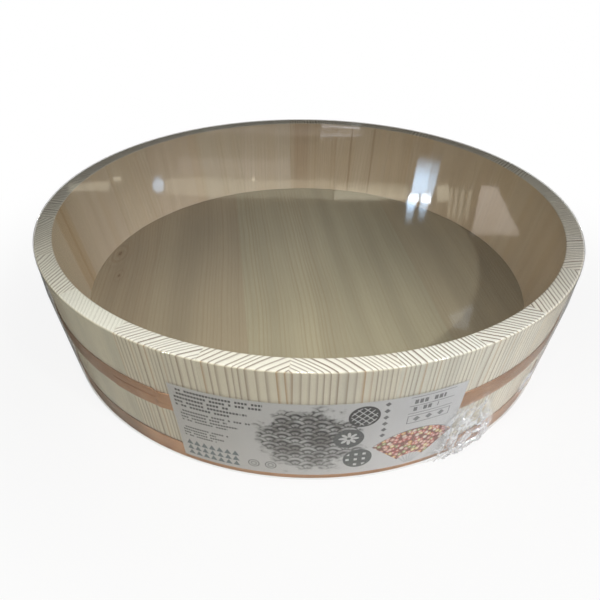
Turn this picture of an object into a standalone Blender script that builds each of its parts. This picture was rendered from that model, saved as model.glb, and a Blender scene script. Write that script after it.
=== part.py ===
"""A sushi rice tub: a shallow round tub of softwood staves held by two copper hoops.

The floor is five boards seated in a groove round the inside of the staves. Bamboo pegs line
up the staves and the boards. A paper label lies over the hoops at the front, and the tub is
shrink-wrapped: a film skirt covers the outside and a film cover is stretched over the mouth.
Units are metres, +Z is up, and the origin is the centre of the foot, on the ground.
The front of the tub, where the label is, faces -Y.
"""

import math

import bmesh
import bpy
from mathutils import Matrix, Vector

# Ring of staves
HEIGHT = 0.100
RIM_DIAMETER = 0.420
FOOT_DIAMETER = 0.3934
RIM_THICKNESS = 0.0124
FLOOR_LEVEL_THICKNESS = 0.0179
FOOT_THICKNESS = 0.0164
EDGE_CHAMFER = 0.0008
GLUE_LINE = 0.0002
RING_START_DEG = -122.0
# Widths of the staves along the outside of the rim, counted anticlockwise from the start.
STAVE_WIDTHS = (
    0.0568, 0.0520, 0.0612, 0.0539, 0.0535, 0.0630, 0.0553, 0.0601,
    0.0546, 0.0623, 0.0572, 0.0531, 0.0616, 0.0557, 0.0590, 0.0542,
    0.0634, 0.0564, 0.0583, 0.0539, 0.0608, 0.0561, 0.0568,
)
STAVE_STEPS = 5

# Floor boards
FLOOR_HEIGHT = 0.0300
BOARD_THICKNESS = 0.0120
GROOVE_DEPTH = 0.0040
BOARD_TURN_DEG = 8.0
# Widths of the boards from left to right, which share out the floor's whole width
BOARD_WIDTHS = (0.053, 0.077, 0.077, 0.077, 0.089)

# Clearance that every seated piece keeps to its neighbour
SEAT_GAP = 0.0003

# Bamboo pegs, whittled six-sided, one in each seam
PEG_SIDES = 6
STAVE_PEG_DIAMETER = 0.0036
STAVE_PEG_LENGTH = 0.024
STAVE_PEG_HEIGHT = 0.064
BOARD_PEG_DIAMETER = 0.0044
BOARD_PEG_LENGTH = 0.036

# Copper hoops
HOOP_WIDTH = 0.0150
HOOP_THICKNESS = 0.0006
UPPER_HOOP_HEIGHT = 0.0475
LOWER_HOOP_HEIGHT = 0.0008
UPPER_LAP_DEG = -116.0
LOWER_LAP_DEG = 64.0
LAP_TONGUE_LENGTH = 0.036
LAP_TONGUE_WIDTH = 0.0085
LAP_RISE_LENGTH = 0.009
LAP_SHOULDER_LENGTH = 0.0008
LAP_GAP = 0.0001
LAP_RISE_STEPS = 4

# Paper label, which starts just past the upper hoop's lap
LABEL_PAST_LAP = 0.0028
LABEL_LENGTH = 0.177
LABEL_HEIGHT = 0.069
LABEL_BOTTOM = 0.0055
LABEL_THICKNESS = 0.0003

# Shrink film, and the gathered tail that its seal leaves low on the outside
FILM_THICKNESS = 0.0003
COVER_LIP = 0.0015
FILM_SLIT = 0.0003
SKIRT_BOTTOM = 0.0006
TAIL_CENTRE_DEG = -60.0
TAIL_LENGTH = 0.085
TAIL_HEIGHT = 0.046
TAIL_CREST_HEIGHT = 0.009
TAIL_STANDOFF = 0.0052
# Share of the standoff that is left at the tail's lower edge
TAIL_FOOT_SHARE = 0.6
TAIL_STEPS = 4

# Facets round the turned pieces, and the distance at which their ends are welded
RING_STEPS = 120
STEP_ANGLE = 2 * math.pi / RING_STEPS
WELD_DISTANCE = 1e-6

RIM_RADIUS = RIM_DIAMETER / 2
FOOT_RADIUS = FOOT_DIAMETER / 2
BOARD_BOTTOM = FLOOR_HEIGHT - BOARD_THICKNESS

# How far each layer's inner face stands off the staves
HOOP_STANDOFF = SEAT_GAP
LAP_STANDOFF = HOOP_STANDOFF + HOOP_THICKNESS + LAP_GAP
LABEL_STANDOFF = HOOP_STANDOFF + HOOP_THICKNESS + SEAT_GAP
LAYERS_OUTSIDE = max(LABEL_STANDOFF + LABEL_THICKNESS, LAP_STANDOFF + HOOP_THICKNESS)
FILM_STANDOFF = LAYERS_OUTSIDE + SEAT_GAP


def outside_radius(z):
    """Radius of the staves' outer face at a height."""
    return FOOT_RADIUS + (RIM_RADIUS - FOOT_RADIUS) * z / HEIGHT


FLOOR_RADIUS = outside_radius(FLOOR_HEIGHT) - FLOOR_LEVEL_THICKNESS
GROOVE_RADIUS = FLOOR_RADIUS + GROOVE_DEPTH


def inside_radius(z):
    """Radius of the staves' inner face at a height, above or below the floor."""
    if z >= FLOOR_HEIGHT:
        share = (z - FLOOR_HEIGHT) / (HEIGHT - FLOOR_HEIGHT)
        return FLOOR_RADIUS + (RIM_RADIUS - RIM_THICKNESS - FLOOR_RADIUS) * share
    foot_inside = FOOT_RADIUS - FOOT_THICKNESS
    return foot_inside + (FLOOR_RADIUS - foot_inside) * z / FLOOR_HEIGHT


def polar(radius, angle, z):
    return Vector((radius * math.cos(angle), radius * math.sin(angle), z))


def smoothstep(share):
    share = min(max(share, 0.0), 1.0)
    return share * share * (3 - 2 * share)


def new_collection(name):
    collection = bpy.data.collections.new(name)
    bpy.context.scene.collection.children.link(collection)
    return collection


def new_material(name, colour, roughness, metallic=0.0, alpha=1.0):
    material = bpy.data.materials.new(name)
    material.use_nodes = True
    shader = material.node_tree.nodes["Principled BSDF"]
    shader.inputs["Base Color"].default_value = (*colour, 1.0)
    shader.inputs["Roughness"].default_value = roughness
    shader.inputs["Metallic"].default_value = metallic
    shader.inputs["Alpha"].default_value = alpha
    return material


def new_object(name, bm, collection, material=None, turn=0.0):
    """Makes a bmesh into a named object, turned about the tub's axis."""
    bmesh.ops.recalc_face_normals(bm, faces=bm.faces)
    mesh = bpy.data.meshes.new(name)
    bm.to_mesh(mesh)
    bm.free()
    made = bpy.data.objects.new(name, mesh)
    made.rotation_euler.z = turn
    collection.objects.link(made)
    if material is not None:
        mesh.materials.append(material)
    return made


def shade_round(made, sharp_deg=30.0):
    made.data.shade_smooth()
    made.data.set_sharp_from_angle(angle=math.radians(sharp_deg))


def stave_spans():
    """Start angle and width angle of each stave, round the whole ring."""
    total = sum(STAVE_WIDTHS)
    start = math.radians(RING_START_DEG)
    spans = []
    for width in STAVE_WIDTHS:
        angle = 2 * math.pi * width / total
        spans.append((start, angle))
        start += angle
    return spans


def stave_profile():
    """Section of the staves in (radius, height), with the groove for the floor."""
    groove_top = FLOOR_HEIGHT + SEAT_GAP
    groove_bottom = BOARD_BOTTOM - SEAT_GAP
    rim_inside = RIM_RADIUS - RIM_THICKNESS
    shoulder = HEIGHT - EDGE_CHAMFER
    return [
        (FOOT_RADIUS - EDGE_CHAMFER, 0.0),
        (outside_radius(EDGE_CHAMFER), EDGE_CHAMFER),
        (outside_radius(shoulder), shoulder),
        (RIM_RADIUS - EDGE_CHAMFER, HEIGHT),
        (rim_inside + EDGE_CHAMFER, HEIGHT),
        (inside_radius(shoulder), shoulder),
        (inside_radius(groove_top), groove_top),
        (GROOVE_RADIUS, groove_top),
        (GROOVE_RADIUS, groove_bottom),
        (inside_radius(groove_bottom), groove_bottom),
        (inside_radius(0.0), 0.0),
    ]


def make_stave(name, start, angle, collection, material):
    """One stave: the section swept through the stave's share of the ring."""
    sweep = angle - GLUE_LINE / RIM_RADIUS
    bm = bmesh.new()
    corners = [bm.verts.new(polar(r, -sweep / 2, z)) for r, z in stave_profile()]
    bm.faces.new(corners)
    bmesh.ops.spin(
        bm,
        geom=bm.verts[:] + bm.edges[:] + bm.faces[:],
        cent=(0, 0, 0),
        axis=(0, 0, 1),
        angle=sweep,
        steps=STAVE_STEPS,
    )
    stave = new_object(name, bm, collection, material, turn=start + angle / 2)
    shade_round(stave)
    return stave


def make_peg(name, centre, turn, diameter, length, collection, material=None):
    """One six-sided peg, or the hole for one, lying level and turned about its centre."""
    bm = bmesh.new()
    bmesh.ops.create_cone(
        bm,
        cap_ends=True,
        segments=PEG_SIDES,
        radius1=diameter / 2,
        radius2=diameter / 2,
        depth=length,
        matrix=Matrix.Rotation(math.pi / 2, 4, "Y"),
    )
    peg = new_object(name, bm, collection, material, turn)
    peg.location = centre
    return peg


def make_peg_hole(name, centre, turn, diameter, length, collection):
    """The cutter for a peg's hole, which leaves the seat gap all round the peg."""
    gap_at_corners = SEAT_GAP / math.cos(math.pi / PEG_SIDES)
    wide, long = diameter + 2 * gap_at_corners, length + 2 * SEAT_GAP
    hole = make_peg(name, centre, turn, wide, long, collection)
    hole.hide_render = True
    hole.display_type = "WIRE"
    return hole


def drill(piece, hole):
    cut = piece.modifiers.new(hole.name, "BOOLEAN")
    cut.operation = "DIFFERENCE"
    cut.object = hole


def make_ring(tub, cutters, wood, bamboo):
    """The staves, with a peg in each joint between two of them."""
    z = STAVE_PEG_HEIGHT
    middle = (outside_radius(z) + inside_radius(z)) / 2
    staves, holes = [], []
    for number, (start, angle) in enumerate(stave_spans(), 1):
        staves.append(make_stave(f"stave_{number:02d}", start, angle, tub, wood))
        place = polar(middle, start, z), start + math.pi / 2
        size = STAVE_PEG_DIAMETER, STAVE_PEG_LENGTH
        make_peg(f"stave_peg_{number:02d}", *place, *size, tub, bamboo)
        holes.append(make_peg_hole(f"stave_peg_hole_{number:02d}", *place, *size, cutters))
    for stave, before, after in zip(staves, holes, holes[1:] + holes[:1]):
        drill(stave, before)
        drill(stave, after)


def keep_side(bm, x, sign):
    """Cuts a closed mesh at a plane across X and closes it again."""
    bmesh.ops.bisect_plane(
        bm,
        geom=bm.verts[:] + bm.edges[:] + bm.faces[:],
        plane_co=(x, 0, 0),
        plane_no=(-sign, 0, 0),
        clear_outer=True,
    )
    open_edges = [edge for edge in bm.edges if edge.is_boundary]
    bmesh.ops.holes_fill(bm, edges=open_edges, sides=0)


def make_floor_board(name, left, right, collection, material):
    """One floor board: the round floor between two seams, or between a seam and its edge."""
    bm = bmesh.new()
    bmesh.ops.create_cone(
        bm,
        cap_ends=True,
        segments=RING_STEPS,
        radius1=GROOVE_RADIUS - SEAT_GAP,
        radius2=GROOVE_RADIUS - SEAT_GAP,
        depth=BOARD_THICKNESS,
        matrix=Matrix.Translation((0, 0, FLOOR_HEIGHT - BOARD_THICKNESS / 2)),
    )
    if left is not None:
        keep_side(bm, left + GLUE_LINE / 2, 1)
    if right is not None:
        keep_side(bm, right - GLUE_LINE / 2, -1)
    board = new_object(name, bm, collection, material, math.radians(BOARD_TURN_DEG))
    shade_round(board)
    return board


def board_seams():
    """Places of the seams across the floor, from its centre line."""
    edge = GROOVE_RADIUS - SEAT_GAP
    seams = []
    for number in range(1, len(BOARD_WIDTHS)):
        share = sum(BOARD_WIDTHS[:number]) / sum(BOARD_WIDTHS)
        seams.append(edge * (2 * share - 1))
    return seams


def make_floor(tub, cutters, wood, bamboo):
    """The floor boards, with a peg in each seam between two of them."""
    seams = board_seams()
    ends = [None, *seams, None]
    boards = []
    for number, (left, right) in enumerate(zip(ends, ends[1:]), 1):
        boards.append(make_floor_board(f"floor_board_{number}", left, right, tub, wood))
    turn = math.radians(BOARD_TURN_DEG)
    for number, seam in enumerate(seams, 1):
        centre = polar(seam, turn, FLOOR_HEIGHT - BOARD_THICKNESS / 2)
        size = BOARD_PEG_DIAMETER, BOARD_PEG_LENGTH
        make_peg(f"floor_peg_{number}", centre, turn, *size, tub, bamboo)
        hole = make_peg_hole(f"floor_peg_hole_{number}", centre, turn, *size, cutters)
        drill(boards[number - 1], hole)
        drill(boards[number], hole)


def sheet_from_rows(name, rows, thickness, collection, material):
    """A thin sheet through rows of points, thickened outward from the tub."""
    bm = bmesh.new()
    grid = [[bm.verts.new(point) for point in row] for row in rows]
    for low, high in zip(grid, grid[1:]):
        for k in range(len(low) - 1):
            bm.faces.new((low[k], low[k + 1], high[k + 1], high[k]))
    bmesh.ops.remove_doubles(bm, verts=bm.verts, dist=WELD_DISTANCE)
    mesh = bpy.data.meshes.new(name)
    bm.to_mesh(mesh)
    bm.free()
    made = bpy.data.objects.new(name, mesh)
    collection.objects.link(made)
    mesh.materials.append(material)
    thicken = made.modifiers.new("thickness", "SOLIDIFY")
    thicken.thickness = thickness
    thicken.offset = 1.0
    thicken.use_even_offset = True
    shade_round(made)
    return made


def hoop_length(bottom):
    """Length of a hoop's full turn, along its middle."""
    return 2 * math.pi * outside_radius(bottom + HOOP_WIDTH / 2)


def make_hoop(name, bottom, lap_deg, collection, material):
    """A copper strip bent round the staves, its narrowed end lapped over its start.

    The strip starts under the lap and runs clockwise. Just before a full turn it rises by its
    own thickness, narrows at a shoulder, and its tongue goes on over the start.
    """
    full_turn = hoop_length(bottom)
    mean_radius = full_turn / (2 * math.pi)
    rise_start = full_turn - LAP_RISE_LENGTH
    lap_start = full_turn - LAP_SHOULDER_LENGTH
    end = full_turn + LAP_TONGUE_LENGTH
    step = STEP_ANGLE * mean_radius
    stations = [k * step for k in range(int(rise_start / step))]
    stations += [rise_start + k * LAP_RISE_LENGTH / LAP_RISE_STEPS for k in range(LAP_RISE_STEPS)]
    stations += [lap_start, full_turn]
    tongue_steps = max(2, round(LAP_TONGUE_LENGTH / step))
    stations += [full_turn + LAP_TONGUE_LENGTH * k / tongue_steps for k in range(1, tongue_steps)]
    stations += [end]
    low, high = [], []
    for run in reversed(stations):
        angle = math.radians(lap_deg) - run / mean_radius
        rise = smoothstep((run - rise_start) / (lap_start - rise_start))
        standoff = HOOP_STANDOFF + (LAP_STANDOFF - HOOP_STANDOFF) * rise
        width = LAP_TONGUE_WIDTH if run >= full_turn else HOOP_WIDTH
        for edge, z in ((low, bottom), (high, bottom + width)):
            edge.append(polar(outside_radius(z) + standoff, angle, z))
    return sheet_from_rows(name, [low, high], HOOP_THICKNESS, collection, material)


def make_label(collection, material):
    """The paper label, laid over the hoops and parallel to the staves."""
    from_lap = (LAP_RISE_LENGTH + LABEL_PAST_LAP) / hoop_length(UPPER_HOOP_HEIGHT) * 2 * math.pi
    start = math.radians(UPPER_LAP_DEG) + from_lap
    sweep = LABEL_LENGTH / outside_radius(LABEL_BOTTOM + LABEL_HEIGHT / 2)
    steps = max(4, round(sweep / STEP_ANGLE))
    angles = [start + sweep * k / steps for k in range(steps + 1)]
    rows = []
    for z in (LABEL_BOTTOM, LABEL_BOTTOM + LABEL_HEIGHT):
        rows.append([polar(outside_radius(z) + LABEL_STANDOFF, a, z) for a in angles])
    return sheet_from_rows("paper_label", rows, LABEL_THICKNESS, collection, material)


def tail_bulge(angle, z):
    """How far the gathered tail lifts the film off the tub at a place on the skirt."""
    radius = outside_radius(TAIL_CREST_HEIGHT)
    along = (angle - math.radians(TAIL_CENTRE_DEG) + math.pi) % (2 * math.pi) - math.pi
    across = smoothstep(1 - abs(along) * radius / (TAIL_LENGTH / 2))
    if z < TAIL_CREST_HEIGHT:
        rise = smoothstep((z - SKIRT_BOTTOM) / (TAIL_CREST_HEIGHT - SKIRT_BOTTOM))
        up = TAIL_FOOT_SHARE + (1 - TAIL_FOOT_SHARE) * rise
    else:
        up = smoothstep((TAIL_HEIGHT - z) / (TAIL_HEIGHT - TAIL_CREST_HEIGHT))
    return TAIL_STANDOFF * across * up


def make_film_skirt(collection, material):
    """The film round the outside, drawn in above the label and hoops to the slit at the rim."""
    top = HEIGHT - COVER_LIP - FILM_SLIT
    neck = max(LABEL_BOTTOM + LABEL_HEIGHT, UPPER_HOOP_HEIGHT + HOOP_WIDTH) + FILM_STANDOFF
    tail_rise = (TAIL_HEIGHT - TAIL_CREST_HEIGHT) / TAIL_STEPS
    tail_heights = [TAIL_CREST_HEIGHT + tail_rise * k for k in range(TAIL_STEPS + 1)]
    heights = sorted([SKIRT_BOTTOM, *tail_heights, neck, top])
    angles = [math.radians(TAIL_CENTRE_DEG) + k * STEP_ANGLE for k in range(RING_STEPS + 1)]
    rows = []
    for z in heights:
        drawn_in = (FILM_STANDOFF - SEAT_GAP) * max(0, (z - neck) / (top - neck))
        base = outside_radius(z) + FILM_STANDOFF - drawn_in
        rows.append([polar(base + tail_bulge(a, z), a, z) for a in angles])
    return sheet_from_rows("film_skirt", rows, FILM_THICKNESS, collection, material)


def make_film_cover(collection, material):
    """The film over the mouth, with a short lip down the outside of the rim."""
    inside = RIM_RADIUS + SEAT_GAP
    outside = inside + FILM_THICKNESS
    under = HEIGHT + SEAT_GAP
    over = under + FILM_THICKNESS
    lip = HEIGHT - COVER_LIP
    profile = [(0, over), (outside, over), (outside, lip), (inside, lip), (inside, under), (0, under)]
    mesh = bpy.data.meshes.new("film_cover")
    edges = [(k, k + 1) for k in range(len(profile) - 1)]
    mesh.from_pydata([(r, 0, z) for r, z in profile], edges, [])
    mesh.materials.append(material)
    cover = bpy.data.objects.new("film_cover", mesh)
    collection.objects.link(cover)
    turned = cover.modifiers.new("turned", "SCREW")
    turned.steps = turned.render_steps = RING_STEPS
    turned.use_merge_vertices = True
    turned.merge_threshold = WELD_DISTANCE
    return cover


def main():
    for old in list(bpy.data.objects):
        bpy.data.objects.remove(old)
    tub = new_collection("sushi rice tub")
    cutters = new_collection("cutters")

    stave_wood = new_material("stave_wood", (0.76, 0.68, 0.52), 0.60)
    board_wood = new_material("board_wood", (0.70, 0.60, 0.42), 0.55)
    bamboo = new_material("bamboo", (0.62, 0.50, 0.28), 0.55)
    copper = new_material("copper", (0.80, 0.46, 0.32), 0.38, metallic=1.0)
    paper = new_material("paper", (0.78, 0.77, 0.75), 0.70)
    film = new_material("film", (0.95, 0.96, 0.97), 0.08, alpha=0.15)

    make_ring(tub, cutters, stave_wood, bamboo)
    make_floor(tub, cutters, board_wood, bamboo)
    make_hoop("upper_hoop", UPPER_HOOP_HEIGHT, UPPER_LAP_DEG, tub, copper)
    make_hoop("lower_hoop", LOWER_HOOP_HEIGHT, LOWER_LAP_DEG, tub, copper)
    make_label(tub, paper)
    make_film_skirt(tub, film)
    make_film_cover(tub, film)


main()
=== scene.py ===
"""Looks of the sushi rice tub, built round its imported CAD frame.

The tub stands on a pale floor, seen from in front and above. Finer pieces replace the CAD nodes of
its staves, floor boards, hoops, label and film, and the pegs keep their CAD shapes. Units are
metres, +Z is up, and the front of the tub, where the label is, faces -Y.
"""

import math
import random

import bmesh
import bpy
from mathutils import Matrix, Vector, noise


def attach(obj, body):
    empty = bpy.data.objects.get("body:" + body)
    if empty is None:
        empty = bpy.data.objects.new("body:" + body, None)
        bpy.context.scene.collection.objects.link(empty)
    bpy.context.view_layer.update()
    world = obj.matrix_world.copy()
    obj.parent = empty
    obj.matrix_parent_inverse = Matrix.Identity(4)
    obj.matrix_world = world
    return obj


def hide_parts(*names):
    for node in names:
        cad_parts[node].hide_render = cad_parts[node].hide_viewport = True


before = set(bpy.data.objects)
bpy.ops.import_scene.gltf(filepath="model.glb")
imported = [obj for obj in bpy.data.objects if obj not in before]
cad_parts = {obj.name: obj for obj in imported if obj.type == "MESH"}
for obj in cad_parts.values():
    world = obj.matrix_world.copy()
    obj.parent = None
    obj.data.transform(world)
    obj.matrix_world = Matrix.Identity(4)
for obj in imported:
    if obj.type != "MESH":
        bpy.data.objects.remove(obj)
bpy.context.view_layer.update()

# Sizes that part.py gives, repeated here because this script can't read it
HEIGHT = 0.100
RIM_RADIUS = 0.210
FOOT_RADIUS = 0.1967
RIM_THICKNESS = 0.0124
FLOOR_LEVEL_THICKNESS = 0.0179
FOOT_THICKNESS = 0.0164
RING_START_DEG = -122.0
STAVE_WIDTHS = (
    0.0568, 0.0520, 0.0612, 0.0539, 0.0535, 0.0630, 0.0553, 0.0601,
    0.0546, 0.0623, 0.0572, 0.0531, 0.0616, 0.0557, 0.0590, 0.0542,
    0.0634, 0.0564, 0.0583, 0.0539, 0.0608, 0.0561, 0.0568,
)
FLOOR_HEIGHT = 0.0300
BOARD_THICKNESS = 0.0120
GROOVE_DEPTH = 0.0040
BOARD_TURN_DEG = 8.0
SEAT_GAP = 0.0003
HOOP_WIDTH = 0.0150
HOOP_THICKNESS = 0.0006
UPPER_HOOP_HEIGHT = 0.0475
LOWER_HOOP_HEIGHT = 0.0008
UPPER_LAP_DEG = -116.0
LOWER_LAP_DEG = 64.0
LAP_TONGUE_LENGTH = 0.036
LAP_TONGUE_WIDTH = 0.0085
LAP_RISE_LENGTH = 0.009
LAP_SHOULDER_LENGTH = 0.0008
LAP_GAP = 0.0001
LABEL_PAST_LAP = 0.0028
LABEL_LENGTH = 0.177
LABEL_HEIGHT = 0.069
LABEL_BOTTOM = 0.0055
COVER_LIP = 0.0015
FILM_SLIT = 0.0003
SKIRT_BOTTOM = 0.0006
TAIL_HEIGHT = 0.046
TAIL_CREST_HEIGHT = 0.009
TAIL_FOOT_SHARE = 0.6

WALL_SLOPE = (RIM_RADIUS - FOOT_RADIUS) / HEIGHT
HOOP_STANDOFF = SEAT_GAP
LAP_STANDOFF = HOOP_STANDOFF + HOOP_THICKNESS + LAP_GAP
LABEL_STANDOFF = HOOP_STANDOFF + HOOP_THICKNESS + SEAT_GAP
FILM_STANDOFF = LAP_STANDOFF + HOOP_THICKNESS + SEAT_GAP

# Small forms that only the finer pieces have
FOOT_ROUND = 0.0007
RIM_ROUND = 0.0011
GROOVE_ROUND = 0.0003
STAVE_BEVEL = 0.00010
JOINT_GAP = 0.00005
STAVE_FACET = math.radians(1.0)
GRAIN_LEAN = 0.025
BOARD_EASE = 0.00012
BOARD_SIDE = 0.00005
HOOP_FACETS = 360
HOOP_EDGE_ROUND = HOOP_THICKNESS * 0.45
TONGUE_ROUND = 0.0012
TONGUE_TRIM = 0.0009
TONGUE_THINNING = 0.5
LABEL_COLUMNS = 120
LABEL_ROWS = 46
LABEL_FACE = 0.00024
LABEL_BACK = 0.00004
LABEL_SLACK = 0.00030
SHEET_RUN_OUT = 0.006
FILM_SKIN = 0.00012
FILM_PULL = 0.00025
COVER_BEND = 0.0005
COVER_COLUMNS = 360
PIN_HOLE = 0.0005

# The film's gathered tail, its pleats and its loose fold
TAIL_MIDDLE_DEG = -59.0
TAIL_LEAN_DEG = 1.5
TAIL_HALF_DEG = 9.0
TAIL_NARROWING_DEG = 5.0
TAIL_SWELL = 0.0032
CRUMPLE_DEPTH = 0.0040
PLEAT_HEIGHT = 0.058
PLEAT_FADE = 0.024
PLEAT_RAGGEDNESS = 0.010
PLEAT_DEPTH = 0.0012
FOLD_DEG = -40.5
FOLD_HALF_DEG = 3.0
FOLD_HEIGHT = 0.028
FOLD_HALF_HEIGHT = 0.011
FOLD_SWELL = 0.0019
# Half the angle that gets close columns, and the columns in it and in the rest of the round
TAIL_REACH_DEG = 18.0
TAIL_COLUMNS = 230
PLAIN_COLUMNS = 240
# Rows up to the top of the pleats, from there to the label's top edge, and up to the rim
SKIRT_ROWS = (62, 12, 14)

# Colours, in linear light
WHITE = (1.0, 1.0, 1.0)
WOOD_PALE = (0.86, 0.81, 0.67)
WOOD_GREY = (0.75, 0.72, 0.61)
WOOD_STAIN = (0.70, 0.56, 0.38)
WOOD_CUT = (0.93, 0.91, 0.84)
WOOD_FIBRE = (0.45, 0.35, 0.24)
RING_BROWN = (0.35, 0.26, 0.17)
RING_WARM = (0.52, 0.33, 0.16)
RING_CUT = (0.20, 0.14, 0.095)
INNER_PALE = (0.80, 0.69, 0.535)
INNER_BAND = (0.745, 0.625, 0.47)
INNER_WARM = (0.74, 0.60, 0.42)
KNOT_HEART = (0.26, 0.17, 0.10)
BAMBOO_PALE = (0.62, 0.49, 0.26)
BAMBOO_DARK = (0.44, 0.31, 0.14)
BAMBOO_PATCH = (0.70, 0.60, 0.36)
COPPER_BRIGHT = (0.71, 0.42, 0.245)
COPPER_DULL = (0.61, 0.34, 0.19)
COPPER_BLOTCH = (0.40, 0.22, 0.13)
# Darker copper for a patch of painted shade
COPPER_PAINTED_SHADE = (0.27, 0.16, 0.10)
COPPER_EDGE = (0.34, 0.18, 0.12)
PAPER_PALE = (0.67, 0.665, 0.665)
PAPER_GREY = (0.60, 0.595, 0.60)
INK = (0.055, 0.055, 0.060)
BLUE_GREY = (0.14, 0.175, 0.20)
FIGURE_GREY = (0.66, 0.66, 0.66)
WASH_INK = (0.10, 0.090, 0.085)
LINE_INK = (0.016, 0.015, 0.016)
PETALS = (
    (0.58, 0.13, 0.12), (0.70, 0.33, 0.27), (0.74, 0.45, 0.36),
    (0.66, 0.20, 0.15), (0.74, 0.42, 0.15), (0.76, 0.62, 0.30),
    (0.33, 0.37, 0.15), (0.76, 0.66, 0.56), (0.64, 0.30, 0.28),
)
PETAL_EDGE = (0.24, 0.09, 0.07)
PETAL_EYE = (0.90, 0.84, 0.72)
FAN_CREASE = (0.50, 0.26, 0.20)
FILM_CLEAR = (0.97, 0.97, 0.965)
FILM_HAZE = (0.86, 0.87, 0.88)
GROUND = (0.52, 0.50, 0.47)
GROUND_PALE = (0.56, 0.54, 0.51)
# Painted shade on the floor's left side
GROUND_PAINTED_SHADE = (0.30, 0.29, 0.27)
AMBIENT = (0.058, 0.052, 0.038)
MIRRORED_ROOM = (0.055, 0.051, 0.044)
MIRRORED_HORIZON = (0.5, 0.5, 0.5)
COOL = (0.86, 0.92, 1.0)
CREAM = (1.0, 0.94, 0.74)
ROSE = (1.0, 0.90, 0.84)
BLUE = (0.55, 0.76, 1.0)

# Each stave's ring direction from its tangent, the distance of its pith from its middle, ring
# spacing, contrast, and tone. Staves 1 to 6 and 20 to 23 are as the photograph shows them.
STAVE_GRAIN = (
    (53, 0.200, 0.0026, 1.00, (1.00, 1.00, 1.00)),
    (48, 0.200, 0.0033, 1.00, (1.00, 0.99, 0.97)),
    (-48, 0.155, 0.0029, 1.60, (1.00, 0.99, 0.98)),
    (-78, 0.300, 0.0028, 2.40, (0.99, 1.00, 1.01)),
    (-54, 0.300, 0.0029, 2.20, (1.00, 1.00, 1.00)),
    (43, 0.220, 0.0028, 1.30, (0.99, 0.97, 0.94)),
    (-62, 0.260, 0.0029, 0.90, (1.00, 0.96, 0.92)),
    (84, 0.300, 0.0026, 0.80, (0.98, 0.94, 0.88)),
    (70, 0.280, 0.0027, 0.75, (0.98, 0.95, 0.90)),
    (-66, 0.240, 0.0030, 0.75, (1.00, 0.97, 0.92)),
    (80, 0.300, 0.0026, 0.75, (0.97, 0.93, 0.88)),
    (-82, 0.260, 0.0032, 0.85, (0.97, 0.92, 0.85)),
    (62, 0.240, 0.0027, 0.80, (1.00, 0.96, 0.90)),
    (-86, 0.300, 0.0027, 0.80, (0.96, 0.90, 0.82)),
    (58, 0.220, 0.0027, 0.70, (1.00, 0.98, 0.95)),
    (-72, 0.260, 0.0028, 0.70, (0.98, 0.97, 0.93)),
    (76, 0.300, 0.0026, 0.75, (1.00, 0.96, 0.92)),
    (-60, 0.240, 0.0030, 0.80, (0.98, 0.95, 0.90)),
    (82, 0.280, 0.0025, 0.80, (0.99, 0.96, 0.93)),
    (78, 0.280, 0.0031, 0.60, (0.97, 0.95, 0.92)),
    (-53, 0.260, 0.0029, 0.55, (1.00, 0.99, 0.96)),
    (-50, 0.260, 0.0027, 0.75, (1.00, 1.00, 0.98)),
    (-50, 0.240, 0.0024, 0.16, (0.99, 1.00, 0.99)),
)
# Each stave's share of the seed that sets its grain apart
STAVE_SEED = 1.37

# Where the staves' inner half begins and ends, as radii at the foot
INNER_HALF = (0.1856, 0.1876)
# Marks on the inner wall: (direction, half width, both in degrees, strength, colour)
INNER_MARKS = (
    (187.0, 4.2, 0.75, (0.70, 0.53, 0.33)),
    (186.0, 0.7, 0.50, (0.60, 0.42, 0.24)),
    (92.6, 2.6, 0.45, (0.62, 0.47, 0.33)),
    (76.5, 0.32, 0.55, (0.50, 0.36, 0.24)),
    (69.3, 0.28, 0.50, (0.50, 0.36, 0.24)),
    (128.0, 2.0, 0.35, (0.74, 0.58, 0.38)),
    (30.0, 2.4, 0.35, (0.66, 0.50, 0.34)),
    (262.0, 3.0, 0.40, (0.72, 0.56, 0.36)),
)

# Each floor board's pith, across and below it, ring spacing, early and late tone, and contrast
BOARD_GRAIN = (
    (-0.30, -0.05, 0.0026, (0.475, 0.39, 0.265), (0.34, 0.235, 0.145), 0.5),
    (-0.25, -0.06, 0.0028, (0.46, 0.385, 0.265), (0.33, 0.24, 0.145), 0.5),
    (-0.20, -0.05, 0.0031, (0.50, 0.45, 0.315), (0.36, 0.28, 0.165), 0.6),
    (0.24, -0.07, 0.0030, (0.475, 0.43, 0.30), (0.36, 0.295, 0.185), 0.5),
    (0.35, -0.05, 0.0027, (0.47, 0.405, 0.275), (0.34, 0.265, 0.165), 0.5),
)
BOARD_SEED = 3.7
# Knots in the floor boards: number of the board, then (x, y, size) of each
KNOTS = {1: ((-0.1730, 0.0300, 0.0130), (-0.1640, -0.0080, 0.0080))}

# Middle of a patch of painted shade on the copper, low on the lower hoop's left by the floor
PAINTED_SHADE_PLACE = (-0.1300, -0.1480, 0.0080)

# The label's print, in metres from its lower left corner
PRINT_EDGE = 0.00012
WAVE_SIZE = 0.0150
FAN_X = 0.1492
FAN_Y = -0.0010
FAN_SPREAD = math.radians(47)
FAN_INNER = 0.0120
FAN_OUTER = 0.0372
FAN_FOLDS = 7
ROUNDEL_RADIUS = 0.0092

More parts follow.
